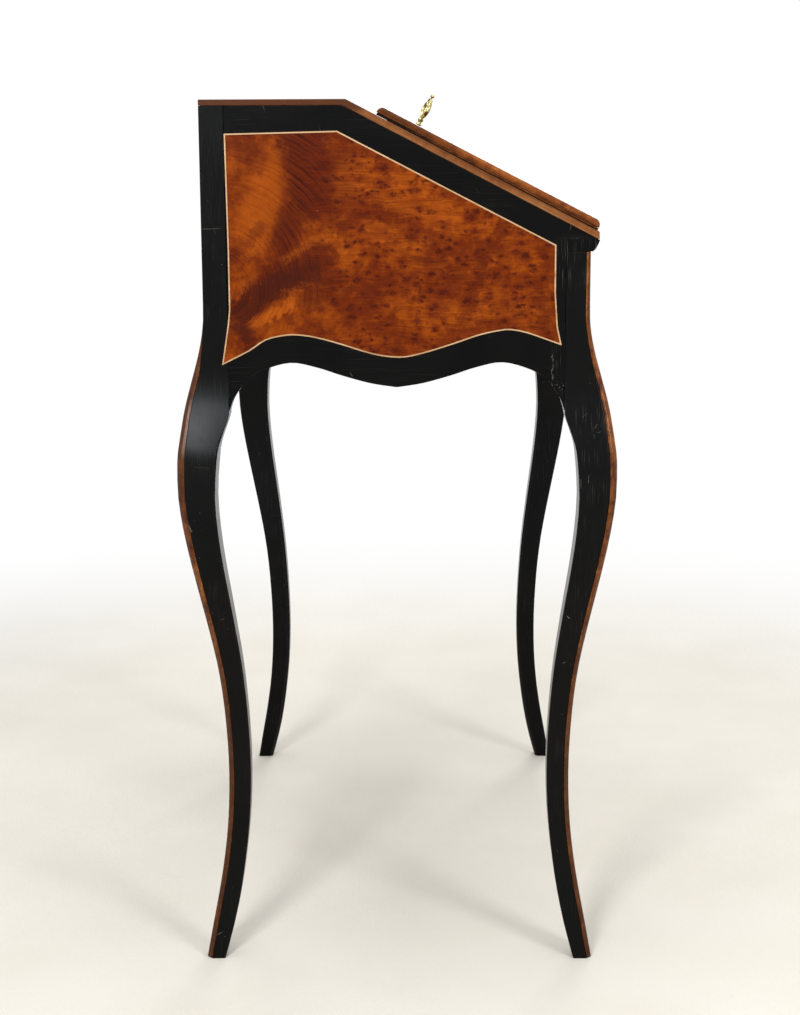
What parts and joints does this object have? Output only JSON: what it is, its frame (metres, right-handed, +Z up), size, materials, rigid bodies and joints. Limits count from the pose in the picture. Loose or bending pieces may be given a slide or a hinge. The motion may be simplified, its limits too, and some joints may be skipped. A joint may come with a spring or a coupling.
{
  "type": "slant-front desk",
  "caption": "Slant-front writing desk on cabriole legs: hinged fall lid with lock and key, frieze drawer, pull-out lopers, fitted nest, burl panels in ebonised wood.",
  "frame": {"origin": "on the floor under the middle of the desk", "axes": "+Z up, -Y the front that the lid and the drawer open towards, +X to the right of someone facing +Y"},
  "size_m": [0.7276, 0.4622, 0.9416],
  "materials": {
    "ebonised_wood": "satin black lacquer",
    "burl_veneer": "polished burl veneer",
    "boxwood_string": "polished pale inlay",
    "edging_wood": "polished reddish brown",
    "inside_wood": "waxed",
    "drawer_wood": "bare wood",
    "leather": "worn",
    "gilt_brass": "gilt",
    "lock_steel": "dull"
  },
  "bodies": {
    "carcass": {"leg_front_left": "ebonised_wood", "leg_front_right": "ebonised_wood", "leg_back_left": "ebonised_wood", "leg_back_right": "ebonised_wood", "corner_edging_front_left": "edging_wood", "corner_edging_front_right": "edging_wood", "corner_edging_back_left": "edging_wood", "corner_edging_back_right": "edging_wood", "side_left": "ebonised_wood", "side_right": "ebonised_wood", "side_left_burl": "burl_veneer", "side_right_burl": "burl_veneer", "side_left_stringing": "boxwood_string", "side_right_stringing": "boxwood_string", "slope_edging_left": "edging_wood", "slope_edging_right": "edging_wood", "back_panel": "ebonised_wood", "top_board": "ebonised_wood", "top_burl": "burl_veneer", "top_stringing": "boxwood_string", "slope_rail": "ebonised_wood", "cornice_rail": "ebonised_wood", "front_apron": "ebonised_wood", "writing_floor": "inside_wood", "drawer_runner_left": "drawer_wood", "drawer_runner_right": "drawer_wood", "nest_divider_left": "inside_wood", "nest_divider_right": "inside_wood", "nest_shelf_left": "inside_wood", "nest_shelf_right": "inside_wood", "hinge_fixed_left": "gilt_brass", "hinge_fixed_right": "gilt_brass", "strike_plate": "gilt_brass"},
    "lid": {"lid_board": "ebonised_wood", "lid_moulding": "edging_wood", "lid_burl": "burl_veneer", "lid_stringing": "boxwood_string", "lid_leather": "leather", "lid_lock": "lock_steel", "lid_escutcheon": "gilt_brass", "hinge_lid_left": "gilt_brass", "hinge_lid_right": "gilt_brass"},
    "bolt": {"lock_bolt": "gilt_brass"},
    "key": {"key": "gilt_brass"},
    "drawer": {"drawer_front": "ebonised_wood", "drawer_burl": "burl_veneer", "drawer_stringing": "boxwood_string", "drawer_side_left": "drawer_wood", "drawer_side_right": "drawer_wood", "drawer_back": "drawer_wood", "drawer_bottom": "drawer_wood", "drawer_escutcheon": "gilt_brass"},
    "loper_left": {"loper_left": "ebonised_wood"},
    "loper_right": {"loper_right": "ebonised_wood"},
    "nest_drawer_left": {"nest_drawer_left": "inside_wood", "nest_knob_left": "gilt_brass"},
    "nest_drawer_right": {"nest_drawer_right": "inside_wood", "nest_knob_right": "gilt_brass"}
  },
  "joints": [
    {"name": "lid_hinge", "type": "hinge", "parent": "carcass", "child": "lid", "pos_m": [0, -0.2095, 0.7955], "axis": [1, 0, 0], "range_deg": [0, 152.6]},
    {"name": "key_turn", "type": "hinge", "parent": "lid", "child": "key", "pos_m": [0, -0.01724, 0.89477], "axis": [0, -0.4588, 0.8886], "range_deg": [0, 180]},
    {"name": "bolt_slide", "type": "slide", "parent": "lid", "child": "bolt", "axis": [0, 0.8886, 0.4588], "range_m": [0, 0.008]},
    {"name": "drawer_slide", "type": "slide", "parent": "carcass", "child": "drawer", "axis": [0, -1, 0], "range_m": [0, 0.26]},
    {"name": "loper_left_slide", "type": "slide", "parent": "carcass", "child": "loper_left", "axis": [0, -1, 0], "range_m": [0, 0.16]},
    {"name": "loper_right_slide", "type": "slide", "parent": "carcass", "child": "loper_right", "axis": [0, -1, 0], "range_m": [0, 0.16]},
    {"name": "nest_drawer_left_slide", "type": "slide", "parent": "carcass", "child": "nest_drawer_left", "axis": [0, -1, 0], "range_m": [0, 0.1]},
    {"name": "nest_drawer_right_slide", "type": "slide", "parent": "carcass", "child": "nest_drawer_right", "axis": [0, -1, 0], "range_m": [0, 0.1]}
  ],
  "couplings": [
    {"joint": "bolt_slide", "follows": "key_turn", "m_per_rad": 0.0025464}
  ]
}
